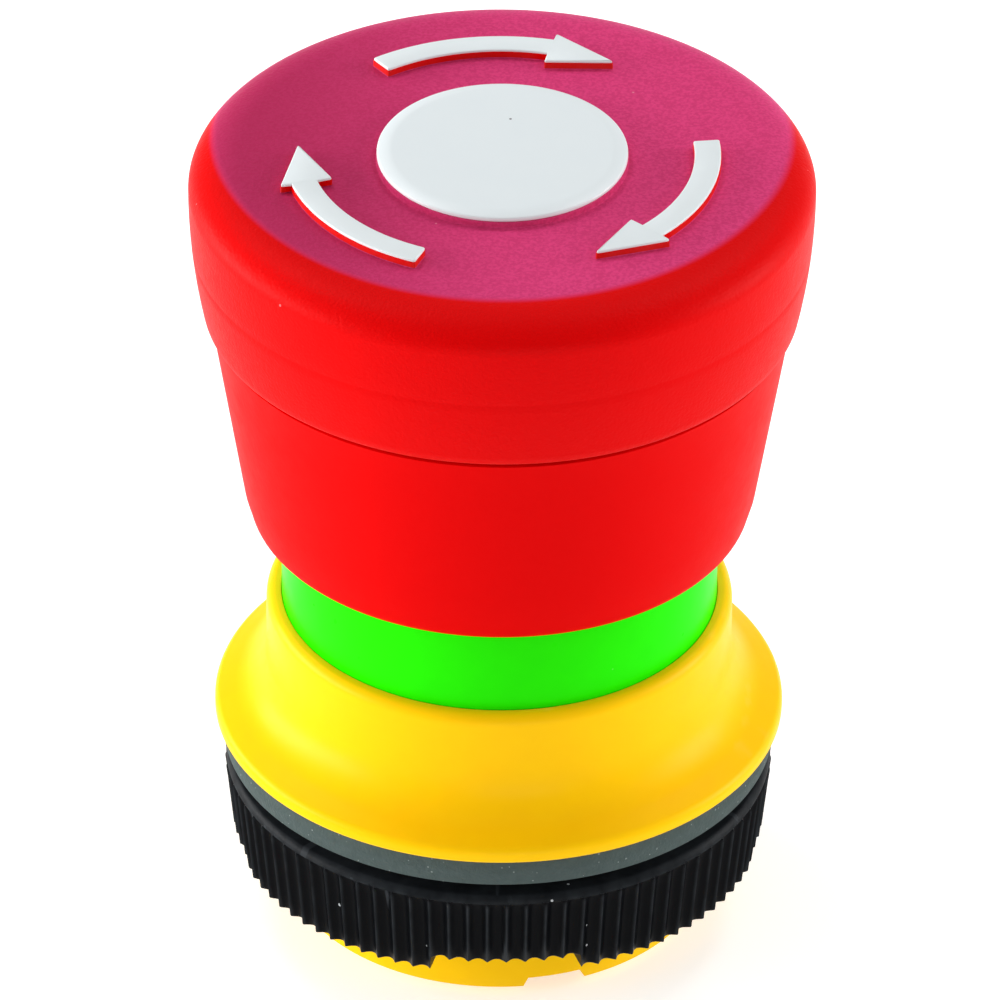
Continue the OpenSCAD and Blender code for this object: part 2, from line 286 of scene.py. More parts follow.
def finish_tree(tree, source, material):
    """Ends a tree with Realize Instances and Set Material."""
    real = tree.nodes.new("GeometryNodeRealizeInstances")
    weld = tree.nodes.new("GeometryNodeMergeByDistance")
    weld.inputs["Distance"].default_value = 2e-6
    paint = tree.nodes.new("GeometryNodeSetMaterial")
    out = tree.nodes.new("NodeGroupOutput")
    tree.links.new(source, real.inputs["Geometry"])
    tree.links.new(real.outputs["Geometry"], weld.inputs["Geometry"])
    tree.links.new(weld.outputs["Geometry"], paint.inputs["Geometry"])
    tree.links.new(material, paint.inputs["Material"])
    tree.links.new(paint.outputs["Geometry"], out.inputs["Geometry"])


def placed_round(tree, gin, count, turn, start=0.0):
    """Instances of the incoming geometry, each one turn further round the Z axis."""
    points = tree.nodes.new("GeometryNodePoints")
    index = tree.nodes.new("GeometryNodeInputIndex")
    spin = tree.nodes.new("ShaderNodeCombineXYZ")
    place = tree.nodes.new("GeometryNodeInstanceOnPoints")
    tree.links.new(count, points.inputs["Count"])
    tree.links.new(math_node(tree, "MULTIPLY_ADD", index.outputs[0], turn, start), spin.inputs["Z"])
    tree.links.new(points.outputs[0], place.inputs["Points"])
    tree.links.new(gin.outputs["Geometry"], place.inputs["Instance"])
    tree.links.new(spin.outputs[0], place.inputs["Rotation"])
    return place.outputs[0]


def copies_tree():
    """Copies of a shape, evenly spaced round the Z axis."""
    tree = new_geometry_group("Copies round the axis", [
        ("Count", "NodeSocketInt", 3), ("Start angle", "NodeSocketFloat", 0.0),
        ("Direction", "NodeSocketFloat", 1.0), ("Material", "NodeSocketMaterial", None)])
    gin = tree.nodes.new("NodeGroupInput")
    g = gin.outputs
    turn = math_node(tree, "MULTIPLY", math_node(tree, "DIVIDE", 2 * math.pi, g["Count"]), g["Direction"])
    finish_tree(tree, placed_round(tree, gin, g["Count"], turn, g["Start angle"]), g["Material"])
    return tree


def notched_ring_tree():
    """A ring welded from equal wedges, with tool notches lifted out of its lower edge."""
    tree = new_geometry_group("Notched ring of wedges", [
        ("Wedges", "NodeSocketInt", 88), ("Notches", "NodeSocketInt", 4),
        ("Notch width", "NodeSocketFloat", 0.58), ("Notch start", "NodeSocketFloat", -1.54),
        ("Notch height", "NodeSocketFloat", 0.0008),
        ("Edge below", "NodeSocketFloat", -0.0059), ("Material", "NodeSocketMaterial", None)])
    gin = tree.nodes.new("NodeGroupInput")
    g = gin.outputs
    ring = placed_round(tree, gin, g["Wedges"], math_node(tree, "DIVIDE", 2 * math.pi, g["Wedges"]))
    real = tree.nodes.new("GeometryNodeRealizeInstances")
    tree.links.new(ring, real.inputs["Geometry"])
    position = tree.nodes.new("GeometryNodeInputPosition")
    apart = tree.nodes.new("ShaderNodeSeparateXYZ")
    tree.links.new(position.outputs[0], apart.inputs[0])
    around = math_node(tree, "ARCTAN2", apart.outputs["Y"], apart.outputs["X"])
    step = math_node(tree, "DIVIDE", 2 * math.pi, g["Notches"])
    from_start = math_node(tree, "SUBTRACT", around, g["Notch start"])
    shifted = math_node(tree, "MULTIPLY_ADD", step, 4.5, from_start)
    wrapped = math_node(tree, "MODULO", shifted, step)
    off = math_node(tree, "ABSOLUTE", math_node(tree, "MULTIPLY_ADD", step, -0.5, wrapped))
    half = math_node(tree, "MULTIPLY", g["Notch width"], 0.5)
    inside = math_node(tree, "LESS_THAN", off, half)
    low = math_node(tree, "LESS_THAN", apart.outputs["Z"], g["Edge below"])
    lift = math_node(tree, "MULTIPLY", math_node(tree, "MULTIPLY", inside, low), g["Notch height"])
    offset = tree.nodes.new("ShaderNodeCombineXYZ")
    tree.links.new(lift, offset.inputs["Z"])
    move = tree.nodes.new("GeometryNodeSetPosition")
    tree.links.new(real.outputs[0], move.inputs["Geometry"])
    tree.links.new(offset.outputs[0], move.inputs["Offset"])
    finish_tree(tree, move.outputs[0], g["Material"])
    return tree


def coil_tree():
    """A wire spring with flat end coils, wound up from a base height along Z."""
    tree = new_geometry_group("Wire coil", [
        ("Coils", "NodeSocketFloat", 6.0), ("Radius", "NodeSocketFloat", 0.007),
        ("Wire", "NodeSocketFloat", 0.0004), ("Length", "NodeSocketFloat", 0.0135),
        ("Base", "NodeSocketFloat", 0.0), ("End coils", "NodeSocketFloat", 0.75),
        ("Along X", "NodeSocketFloat", 0.0), ("Turned", "NodeSocketFloat", 0.0),
        ("Material", "NodeSocketMaterial", None)])
    gin = tree.nodes.new("NodeGroupInput")
    g = gin.outputs
    spiral = tree.nodes.new("GeometryNodeCurveSpiral")
    spiral.inputs["Resolution"].default_value = 32
    tree.links.new(g["Coils"], spiral.inputs["Rotations"])
    tree.links.new(g["Radius"], spiral.inputs["Start Radius"])
    tree.links.new(g["Radius"], spiral.inputs["End Radius"])
    spiral.inputs["Height"].default_value = 0.0
    factor = tree.nodes.new("GeometryNodeSplineParameter")
    done = math_node(tree, "MULTIPLY", factor.outputs["Factor"], g["Coils"])
    done = math_node(tree, "SUBTRACT", done, g["End coils"])
    live = math_node(tree, "SUBTRACT", g["Coils"], math_node(tree, "MULTIPLY", g["End coils"], 2.0))
    share = tree.nodes.new("ShaderNodeClamp")
    tree.links.new(math_node(tree, "DIVIDE", done, live), share.inputs["Value"])
    rise = math_node(tree, "SUBTRACT", g["Length"], math_node(tree, "MULTIPLY", g["Wire"], 2.0))
    first = math_node(tree, "ADD", g["Wire"], g["Base"])
    lift = math_node(tree, "MULTIPLY_ADD", share.outputs[0], rise, first)
    offset = tree.nodes.new("ShaderNodeCombineXYZ")
    tree.links.new(lift, offset.inputs["Z"])
    move = tree.nodes.new("GeometryNodeSetPosition")
    tree.links.new(spiral.outputs[0], move.inputs["Geometry"])
    tree.links.new(offset.outputs[0], move.inputs["Offset"])
    ring = tree.nodes.new("GeometryNodeCurvePrimitiveCircle")
    ring.inputs["Resolution"].default_value = 10
    tree.links.new(g["Wire"], ring.inputs["Radius"])
    sweep = tree.nodes.new("GeometryNodeCurveToMesh")
    tree.links.new(move.outputs[0], sweep.inputs["Curve"])
    tree.links.new(ring.outputs[0], sweep.inputs["Profile Curve"])
    sweep.inputs["Fill Caps"].default_value = True
    tilt = tree.nodes.new("ShaderNodeCombineXYZ")
    tree.links.new(math_node(tree, "MULTIPLY", g["Along X"], math.pi / 2), tilt.inputs["Y"])
    tree.links.new(g["Turned"], tilt.inputs["Z"])
    turn = tree.nodes.new("GeometryNodeTransform")
    tree.links.new(sweep.outputs[0], turn.inputs["Geometry"])
    tree.links.new(tilt.outputs[0], turn.inputs["Rotation"])
    finish_tree(tree, turn.outputs[0], g["Material"])
    return tree


def tree_named(name, build):
    """A node tree by name, built the first time it is asked for."""
    return bpy.data.node_groups.get(name) or build()


def grown(name, seed, tree, values, sharp=32.0):
    """The plain mesh that a node tree makes from a seed object, which it replaces."""
    modifier = seed.modifiers.new("Shape", "NODES")
    modifier.node_group = tree
    labels = {s.name: s.identifier for s in tree.interface.items_tree
              if s.item_type == "SOCKET" and s.in_out == "INPUT"}
    for label, value in values.items():
        modifier[labels[label]] = value
    bpy.context.view_layer.update()
    graph = bpy.context.evaluated_depsgraph_get()
    mesh = bpy.data.meshes.new_from_object(seed.evaluated_get(graph))
    bpy.data.objects.remove(seed)
    mesh.name = name
    obj = bpy.data.objects.new(name, mesh)
    bpy.context.scene.collection.objects.link(obj)
    if not len(mesh.polygons):
        raise RuntimeError(f"{name} came out empty")
    return finish_mesh(obj, sharp)


# ---- shader node groups ----

def shader_group(name, inputs, outputs):
    """A shader group and its input node, which is None when the group is already there."""
    tree = bpy.data.node_groups.get(name)
    if tree:
        return tree, None
    tree = bpy.data.node_groups.new(name, "ShaderNodeTree")
    for label, kind, value in inputs:
        s = tree.interface.new_socket(label, in_out="INPUT", socket_type=kind)
        s.default_value = value
    for label, kind in outputs:
        tree.interface.new_socket(label, in_out="OUTPUT", socket_type=kind)
    return tree, tree.nodes.new("NodeGroupInput")


def grain_group():
    """Fine spark-eroded mould grain: a height for Bump and a mottling mask."""
    tree, gin = shader_group("Moulded grain", [
        ("Cells per metre", "NodeSocketFloat", 4500.0), ("Coarse share", "NodeSocketFloat", 0.35)],
        [("Height", "NodeSocketFloat"), ("Mottle", "NodeSocketFloat")])
    if gin is None:
        return tree
    where = tree.nodes.new("ShaderNodeTexCoord")
    fine = tree.nodes.new("ShaderNodeTexNoise")
    coarse = tree.nodes.new("ShaderNodeTexNoise")
    fine.inputs["Detail"].default_value = 3.0
    coarse.inputs["Detail"].default_value = 2.0
    tree.links.new(gin.outputs["Cells per metre"], fine.inputs["Scale"])
    wide = math_node(tree, "MULTIPLY", gin.outputs["Cells per metre"], 0.3)
    tree.links.new(wide, coarse.inputs["Scale"])
    for t in (fine, coarse):
        tree.links.new(where.outputs["Object"], t.inputs["Vector"])
    out = tree.nodes.new("NodeGroupOutput")
    height = math_node(tree, "MULTIPLY_ADD", coarse.outputs["Fac"], gin.outputs["Coarse share"],
                       fine.outputs["Fac"])
    tree.links.new(height, out.inputs["Height"])
    tree.links.new(coarse.outputs["Fac"], out.inputs["Mottle"])
    return tree


def specks_group():
    """Small scattered dust specks: a mask that is 1 on a speck."""
    tree, gin = shader_group("Dust specks", [
        ("Cells per metre", "NodeSocketFloat", 1200.0), ("Speck size", "NodeSocketFloat", 0.12),
        ("Share kept", "NodeSocketFloat", 0.2)], [("Mask", "NodeSocketFloat")])
    if gin is None:
        return tree
    where = tree.nodes.new("ShaderNodeTexCoord")
    cells = tree.nodes.new("ShaderNodeTexVoronoi")
    tree.links.new(where.outputs["Object"], cells.inputs["Vector"])
    tree.links.new(gin.outputs["Cells per metre"], cells.inputs["Scale"])
    split = tree.nodes.new("ShaderNodeSeparateColor")
    tree.links.new(cells.outputs["Color"], split.inputs[0])
    near = math_node(tree, "LESS_THAN", cells.outputs["Distance"],
                     math_node(tree, "MULTIPLY", gin.outputs["Speck size"], split.outputs[1]))
    kept = math_node(tree, "LESS_THAN", split.outputs[0], gin.outputs["Share kept"])
    out = tree.nodes.new("NodeGroupOutput")
    tree.links.new(math_node(tree, "MULTIPLY", near, kept), out.inputs["Mask"])
    return tree


def oval_group():
    """A soft-edged oval patch between two heights: 1 inside, falling to 0 at its edge."""
    tree, gin = shader_group("Oval patch", [
        ("Middle Y", "NodeSocketFloat", 0.0), ("Half width", "NodeSocketFloat", 0.01),
        ("Half depth", "NodeSocketFloat", 0.01), ("Softness", "NodeSocketFloat", 0.05),
        ("Low", "NodeSocketFloat", 0.0), ("High", "NodeSocketFloat", 1.0)], [("Mask", "NodeSocketFloat")])
    if gin is None:
        return tree
    where = tree.nodes.new("ShaderNodeTexCoord")
    apart = tree.nodes.new("ShaderNodeSeparateXYZ")
    tree.links.new(where.outputs["Object"], apart.inputs[0])

    def ramp(value, low, high):
        node = tree.nodes.new("ShaderNodeMapRange")
        node.interpolation_type = "SMOOTHSTEP"
        for key, link in (("Value", value), ("From Min", low), ("From Max", high)):
            tree.links.new(link, node.inputs[key])
        return node.outputs[0]

    across = math_node(tree, "DIVIDE", apart.outputs["X"], gin.outputs["Half width"])
    behind = math_node(tree, "SUBTRACT", apart.outputs["Y"], gin.outputs["Middle Y"])
    along = math_node(tree, "DIVIDE", behind, gin.outputs["Half depth"])
    squares = math_node(tree, "MULTIPLY_ADD", along, along, math_node(tree, "MULTIPLY", across, across))
    reach = math_node(tree, "SQRT", squares)
    solid = math_node(tree, "SUBTRACT", 1.0, gin.outputs["Softness"])
    outside = ramp(reach, solid, math_node(tree, "ADD", solid, gin.outputs["Softness"]))
    foot = math_node(tree, "SUBTRACT", gin.outputs["Low"], 0.0005)
    above = ramp(apart.outputs["Z"], foot, gin.outputs["Low"])
    below = math_node(tree, "LESS_THAN", apart.outputs["Z"], gin.outputs["High"])
    out = tree.nodes.new("NodeGroupOutput")
    inside = math_node(tree, "MULTIPLY", math_node(tree, "SUBTRACT", 1.0, outside), above)
    tree.links.new(math_node(tree, "MULTIPLY", inside, below), out.inputs["Mask"])
    return tree


def wear_and_highlight_group():
    """Lighter convex edges, for rubbing and painted highlights: a mask from the surface's own curvature,
    broken up by noise.
    """
    tree, gin = shader_group("Edge wear", [
        ("Reach", "NodeSocketFloat", 0.06), ("Breakup per metre", "NodeSocketFloat", 900.0)],
        [("Mask", "NodeSocketFloat")])
    if gin is None:
        return tree
    where = tree.nodes.new("ShaderNodeTexCoord")
    shape = tree.nodes.new("ShaderNodeNewGeometry")
    noise = tree.nodes.new("ShaderNodeTexNoise")
    tree.links.new(where.outputs["Object"], noise.inputs["Vector"])
    tree.links.new(gin.outputs["Breakup per metre"], noise.inputs["Scale"])
    edge = tree.nodes.new("ShaderNodeMapRange")
    tree.links.new(shape.outputs["Pointiness"], edge.inputs["Value"])
    level = 0.51  # just above the value of a flat surface
    edge.inputs["From Min"].default_value = level
    tree.links.new(math_node(tree, "ADD", level, gin.outputs["Reach"]), edge.inputs["From Max"])
    out = tree.nodes.new("NodeGroupOutput")
    tree.links.new(math_node(tree, "MULTIPLY", edge.outputs[0], noise.outputs["Fac"]), out.inputs["Mask"])
    return tree


class Material:
    """A material with one Principled BSDF and helpers to wire the shared groups into it."""

    def __init__(self, name, color, **values):
        self.mat = bpy.data.materials.new(name)
        self.mat.use_nodes = True
        self.tree = self.mat.node_tree
        self.shader = self.tree.nodes["Principled BSDF"]
        self.color = (*color, 1.0)
        self.shader.inputs["Base Color"].default_value = self.color
        for key, value in values.items():
            self.shader.inputs[key.replace("_", " ")].default_value = value
        self.now = None

    def group(self, tree, **values):
        """A shader group's node, with its inputs set."""
        node = self.tree.nodes.new("ShaderNodeGroup")
        node.node_tree = tree
        for key, value in values.items():
            node.inputs[key.replace("_", " ")].default_value = value
        return node

    def math(self, operation, a, b=None, c=None):
        return math_node(self.tree, operation, a, b, c)

    def blend(self, mask, color):
        """Blends a colour over the base colour by a mask."""
        node = self.tree.nodes.new("ShaderNodeMix")
        node.data_type = "RGBA"
        self.tree.links.new(mask, node.inputs["Factor"])
        if self.now is None:
            node.inputs["A"].default_value = self.color
        else:
            self.tree.links.new(self.now, node.inputs["A"])
        node.inputs["B"].default_value = (*color, 1.0)
        self.now = node.outputs["Result"]
        self.tree.links.new(self.now, self.shader.inputs["Base Color"])
        return self

    def roughness(self, low, high, mask):
        """A roughness that follows a mask."""
        node = self.tree.nodes.new("ShaderNodeMapRange")
        self.tree.links.new(mask, node.inputs["Value"])
        node.inputs["To Min"].default_value = low
        node.inputs["To Max"].default_value = high
        self.tree.links.new(node.outputs[0], self.shader.inputs["Roughness"])

    def bump(self, height, strength, distance):
        """Small relief from a height."""
        node = self.tree.nodes.new("ShaderNodeBump")
        node.inputs["Strength"].default_value = strength
        node.inputs["Distance"].default_value = distance
        self.tree.links.new(height, node.inputs["Height"])
        self.tree.links.new(node.outputs[0], self.shader.inputs["Normal"])

    def apart(self):
        """The object coordinates as three outputs."""
        where = self.tree.nodes.new("ShaderNodeTexCoord")
        apart = self.tree.nodes.new("ShaderNodeSeparateXYZ")
        self.tree.links.new(where.outputs["Object"], apart.inputs[0])
        return apart

    def radius(self, x=0.0, y=0.0):
        """Distance in metres from the upright line through x, y."""
        apart = self.apart()
        across = self.math("SUBTRACT", apart.outputs["X"], x)
        along = self.math("SUBTRACT", apart.outputs["Y"], y)
        squares = self.math("MULTIPLY_ADD", along, along, self.math("MULTIPLY", across, across))
        return self.math("SQRT", squares)

    def ramp(self, value, low, high):
        """A smooth rise from 0 at the low value to 1 at the high one."""
        node = self.tree.nodes.new("ShaderNodeMapRange")
        node.interpolation_type = "SMOOTHSTEP"
        self.tree.links.new(value, node.inputs["Value"])
        node.inputs["From Min"].default_value = low
        node.inputs["From Max"].default_value = high
        return node.outputs[0]


def moulded(m, cells, coarse, bump, rough, shade, amount):
    """Mould grain, a roughness that follows it, and a faint change of tone.

    bump is a strength and a distance, rough the lowest and highest roughness.
    """
    grain = m.group(grain_group(), Cells_per_metre=cells, Coarse_share=coarse)
    m.bump(grain.outputs["Height"], *bump)
    m.roughness(*rough, grain.outputs["Mottle"])
    m.blend(m.math("MULTIPLY", grain.outputs["Mottle"], amount), shade)
    return grain


def dusted(m, cells, speck, share, color, amount):
    """Scattered pale dust."""
    specks = m.group(specks_group(), Cells_per_metre=cells, Speck_size=speck, Share_kept=share)
    return m.blend(m.math("MULTIPLY", specks.outputs["Mask"], amount), color)


def rubbed_and_highlit(m, reach, color, amount):
    """Lighter convex edges: rubbing, and a painted highlight where it stands for light on crests."""
    wear_and_highlight = m.group(wear_and_highlight_group(), Reach=reach)
    return m.blend(m.math("MULTIPLY", wear_and_highlight.outputs["Mask"], amount), color)


def red_cap(c):
    m = Material("Head red, grained", c.red, Specular_IOR_Level=0.035)
    grain = moulded(m, 6000.0, 0.25, bump=(0.45, 0.00006), rough=(0.36, 0.50),
                    shade=(0.62, 0.002, 0.003), amount=0.25)
    # Painted sheen: an oval patch over the flat face and the back of the rounded edge is tinted crimson for a
    # broad reflection of cool light; it turns with the head.
    patch = m.group(oval_group(), Middle_Y=0.003, Half_width=0.0151, Half_depth=0.0164, Softness=0.04,
                    Low=0.0338, High=0.03515)
    # Painted shade: the seat round the centre disc gets the same crimson, standing for the shade below the
    # disc's rim.
    boss = m.group(oval_group(), Half_width=0.0068, Half_depth=0.0068, Softness=0.03, Low=0.03, High=0.0356)
    face = m.math("MAXIMUM", patch.outputs["Mask"], boss.outputs["Mask"])
    m.blend(m.math("MULTIPLY", face, 0.95), c.face)
    # Painted shade: the painted sheen is darker towards the left.
    left = m.math("SUBTRACT", 1.0, m.ramp(m.apart().outputs["X"], -0.014, 0.003))
    m.blend(m.math("MULTIPLY", m.math("MULTIPLY", face, left), 0.8), (0.37, 0.018, 0.075))
    # Painted shade: the painted sheen is darker in the grain's pits.
    painted_shade_in_pits = m.math("SUBTRACT", 1.0, m.ramp(grain.outputs["Height"], 0.46, 0.80))
    m.blend(m.math("MULTIPLY", m.math("MULTIPLY", face, painted_shade_in_pits), 0.32), (0.36, 0.012, 0.06))
    dusted(m, cells=900.0, speck=0.10, share=0.05, color=(0.9, 0.6, 0.65), amount=0.25)
    return rubbed_and_highlit(m, reach=0.10, color=(0.95, 0.4, 0.4), amount=0.12).mat


def red_skirt(c):
    m = Material("Skirt red, grained", c.red, Specular_IOR_Level=0.02)
    moulded(m, 4200.0, 0.4, bump=(0.22, 0.00004), rough=(0.38, 0.52), shade=(0.62, 0.001, 0.002), amount=0.25)
    return dusted(m, cells=800.0, speck=0.09, share=0.04, color=(0.95, 0.4, 0.35), amount=0.25).mat


def white_face(c):
    m = Material("Arrow white, satin", c.white, IOR=1.46)
    moulded(m, 2500.0, 0.5, bump=(0.10, 0.00003), rough=(0.38, 0.5), shade=(0.62, 0.66, 0.67), amount=0.3)
    return m.mat


def white_disc(c):
    m = Material("Disc white, glossy", c.white, IOR=1.44)
    moulded(m, 1800.0, 0.5, bump=(0.03, 0.00002), rough=(0.30, 0.40), shade=(0.68, 0.74, 0.77), amount=0.35)
    dot = m.math("LESS_THAN", m.radius(0.0004, 0.0028), 0.00007)
    return m.blend(dot, (0.12, 0.12, 0.13)).mat


def green_sleeve(c):
    m = Material("Sleeve green, glossy", c.green, Specular_IOR_Level=0.03)
    moulded(m, 2600.0, 0.4, bump=(0.06, 0.00003), rough=(0.24, 0.36), shade=(0.008, 0.62, 0.0), amount=0.3)
    return dusted(m, cells=700.0, speck=0.12, share=0.10, color=(0.5, 0.95, 0.4), amount=0.3).mat


def yellow_gloss(c):
    m = Material("Bezel yellow, satin", c.yellow, Specular_IOR_Level=0.06)
    moulded(m, 2400.0, 0.5, bump=(0.10, 0.00004), rough=(0.30, 0.42), shade=(0.88, 0.44, 0.002), amount=0.3)
    rubbed_and_highlit(m, reach=0.12, color=(1.0, 0.85, 0.3), amount=0.10)
    return dusted(m, cells=600.0, speck=0.12, share=0.06, color=(1.0, 0.9, 0.5), amount=0.35).mat


def gasket_rubber(c):
    m = Material("Gasket grey, grained", c.grey, Specular_IOR_Level=0.10)
    moulded(m, 6000.0, 0.6, bump=(0.6, 0.00010), rough=(0.62, 0.85), shade=(0.035, 0.05, 0.048), amount=0.5)
    dusted(m, cells=5000.0, speck=0.28, share=0.22, color=(0.26, 0.30, 0.29), amount=0.6)
    return dusted(m, cells=1500.0, speck=0.12, share=0.12, color=(0.8, 0.85, 0.85), amount=0.8).mat


def nut_plastic(c):
    m = Material("Nut black, moulded", c.black, Specular_IOR_Level=0.04)
    moulded(m, 3000.0, 0.4, bump=(0.15, 0.00005), rough=(0.30, 0.45), shade=(0.004, 0.005, 0.006), amount=0.5)
    # Painted highlight, partly real rubbing: the rib crests are lighter, standing for the light lines the
    # ribs catch.
    rubbed_and_highlit(m, reach=0.08, color=(0.05, 0.058, 0.065), amount=0.9)
    return dusted(m, cells=1100.0, speck=0.11, share=0.16, color=(0.55, 0.58, 0.6), amount=0.8).mat


def turned_steel(c):
    m = Material("Steel, turned", c.steel, Metallic=1.0)
    moulded(m, 5000.0, 0.2, bump=(0.10, 0.00002), rough=(0.22, 0.40), shade=(0.40, 0.40, 0.41), amount=0.4)
    return m.mat


def spring_wire(c):
    m = Material("Spring wire, drawn", c.steel, Metallic=1.0)
    moulded(m, 7000.0, 0.2, bump=(0.08, 0.00001), rough=(0.18, 0.30), shade=(0.46, 0.46, 0.48), amount=0.3)
    return m.mat


def dark_nylon(c):
    m = Material("Nylon, dark", (0.03, 0.03, 0.034))
    moulded(m, 2800.0, 0.5, bump=(0.2, 0.00005), rough=(0.40, 0.56), shade=(0.02, 0.02, 0.022), amount=0.5)
    return m.mat


def pale_nylon(c):
    m = Material("Nylon, natural", c.nylon, Subsurface_Weight=0.1, Subsurface_Radius=(0.001, 0.001, 0.0008))
    moulded(m, 2600.0, 0.5, bump=(0.12, 0.00004), rough=(0.34, 0.46), shade=(0.62, 0.58, 0.48), amount=0.4)
    return m.mat


def black_rubber(c):
    m = Material("Seal rubber, black", (0.012, 0.012, 0.012))
    moulded(m, 5000.0, 0.6, bump=(0.35, 0.00006), rough=(0.55, 0.75), shade=(0.02, 0.02, 0.02), amount=0.5)
    return m.mat


BUILDERS = {
    "head_red": red_cap, "skirt_red": red_skirt, "arrow_white": white_face, "disc_white": white_disc,
    "sleeve_green": green_sleeve, "yellow_plastic": yellow_gloss, "gasket_grey": gasket_rubber,
    "nut_black": nut_plastic, "steel": turned_steel, "spring_steel": spring_wire, "dark_nylon": dark_nylon,
    "natural_nylon": pale_nylon, "seal_rubber": black_rubber,
}
_made = {}


def finish_of(slot):
    """The material for a finish, built once."""
    if slot not in _made:
        _made[slot] = BUILDERS[slot](bpy.context.scene.stop_finish)
    return _made[slot]


def settle(obj, body, slot, node, material=None):
    """Gives a piece its material and its body, and hides the CAD node it stands for."""
    obj.data.materials.clear()
    obj.data.materials.append(finish_of(material or slot))
    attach(obj, body)
    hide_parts(node)
    return obj


# ---- head pieces ----

CAP_DEPTH = 8.5  # from the flat face down to the cap's lower edge, mm
CAP_TAPER = 0.73  # how much narrower the cap is at its lower edge
OVERHANG = 0.3  # how far the cap stands out over the skirt
SKIRT_RIM = 14.2  # height of the skirt's lower rim
SKIRT_SLOPE = 0.16


def make_head_cap(s):
    """The cap's shell with its disc seat and arrow pads."""
    r, face, wide, high = s.radius / MM, s.face / MM, s.edge_width / MM, s.edge_height / MM
    boss, parting, shoulder, low = s.disc_radius / MM, face - 4.6, face - high, face - CAP_DEPTH

    def wall(z):
        return r - CAP_TAPER * ((shoulder - z) / (shoulder - low)) ** 2

    outline = [(1.55, face - 1.8), (1.55, face - 0.6), (boss - 0.36, face - 0.6), (boss - 0.36, face + 0.34),
               (boss - 0.05, face + 0.34), (boss - 0.01, face + 0.30), (boss, face + 0.04),
               (boss + 0.05, face)]
    outline += [(9.0, face), (12.0, face)]
    for k in range(25):
        a = math.pi / 2 * k / 24
        outline.append((r - wide + wide * math.sin(a), shoulder + high * math.cos(a)))
    outline += [(wall(z), z) for z in (shoulder - 0.7, shoulder - 1.5, shoulder - 2.3, parting + 0.12)]
    outline += [(wall(parting) - 0.012, parting + 0.02), (wall(parting), parting - 0.03)]
    outline += [(wall(parting - d), parting - d) for d in (0.5, 1.1, 1.7, 2.3, 2.9, 3.4, 3.72)]
    outline += [(wall(low) - 0.03, low + 0.07), (wall(low) - 0.12, low), (r - 2.05, low),
                (r - 2.05, low + 2.5), (r - 3.4, low + 2.5), (r - 3.4, face - 1.8)]
    cap = turned("head_cap_shell", outline, 256, 28)
    pad = raised("pad", arrow_outline(), face - 0.25, face + s.pad_height / MM, 0.04)
    pads = grown("pads", pad, tree_named("Copies round the axis", copies_tree),
                 {"Count": s.arrow_count, "Direction": -1.0, "Start angle": 0.0}, 40)
    return join("HeadCap", [cap, pads])


class ESTOP_OT_head_cap(bpy.types.Operator):
    """Builds the red cap with its rounded edge, disc recess and raised arrow pads"""

    bl_idname = "estop.head_cap"
    bl_label = "Head cap"

    def execute(self, context):
        settle(finish_mesh(make_head_cap(context.scene.stop_head), 32), "head", "head_red", "head_cap")
        return {"FINISHED"}


class ESTOP_OT_arrows(bpy.types.Operator):
    """Builds the white faces of the turn arrows"""

    bl_idname = "estop.arrows"
    bl_label = "Arrows"

    def execute(self, context):
        s = context.scene.stop_head
        low = s.face / MM + s.pad_height / MM
        one = raised("arrow", arrow_outline(0.03), low - 0.05, low + s.inlay_height / MM, 0.07)
        arrows = grown("ArrowFaces", one, tree_named("Copies round the axis", copies_tree),
                       {"Count": s.arrow_count, "Direction": -1.0, "Start angle": 0.0,
                        "Material": finish_of("arrow_white")}, 40)
        settle(arrows, "head", "arrow_white", "arrow_inlays")
        return {"FINISHED"}


class ESTOP_OT_centre_disc(bpy.types.Operator):
    """Builds the white centre disc with its rounded shoulder and peg"""

    bl_idname = "estop.centre_disc"
    bl_label = "Centre disc"

    def execute(self, context):
        s = context.scene.stop_head
        r, top, face = s.disc_radius / MM, s.disc_top / MM, s.face / MM
        outline = [(0.0, face - 3.2), (1.15, face - 3.2), (1.5, face - 2.8), (1.5, face - 0.62),
                   (r - 0.42, face - 0.58), (r - 0.40, face + 0.36), (r - 0.04, face + 0.36),
                   (r, face + 0.40)]
        outline += arc(r - 0.16, top - 0.24, 0.16, 0, 65, 6)
        outline += [(r - 0.5, top - 0.035), (r - 0.62, top - 0.006), (r - 0.8, top), (0.0, top)]
        settle(turned("CentreDisc", outline, sharp=40, closed=False), "head", "disc_white", "centre_disc")
        return {"FINISHED"}


class ESTOP_OT_skirt(bpy.types.Operator):
    """Builds the red skirt under the cap, tapering to a rounded lower lip"""

    bl_idname = "estop.skirt"
    bl_label = "Head skirt"

    def execute(self, context):
        s = context.scene.stop_head
        r, low, rim = s.radius / MM - CAP_TAPER - OVERHANG, s.face / MM - CAP_DEPTH, SKIRT_RIM
        height = low - rim
        foot = r - SKIRT_SLOPE * height
        outline = [(r + 0.02, low - 0.30), (r - 0.06, low - 0.25), (r - 0.5, low - 0.23), (r - 0.55, low)]
        outline += [(r - 1.07, low), (r - 1.07, low + 0.5), (r - 2.37, low + 0.5),
                    (r - 2.37, low - 2.0), (foot - 1.35, rim + 0.5)]
        outline += arc(foot - 0.95, rim + 0.4, 0.4, 180, 270, 5)
        outline += arc(foot - 0.75, rim + 0.75, 0.75, -90, -10, 10)
        for k in range(1, 8):
            outline.append((foot + SKIRT_SLOPE * height * k / 8, rim + height * k / 8))
        settle(turned("HeadSkirt", outline, 256, 30), "head", "head_red", "head_skirt", "skirt_red")
        return {"FINISHED"}


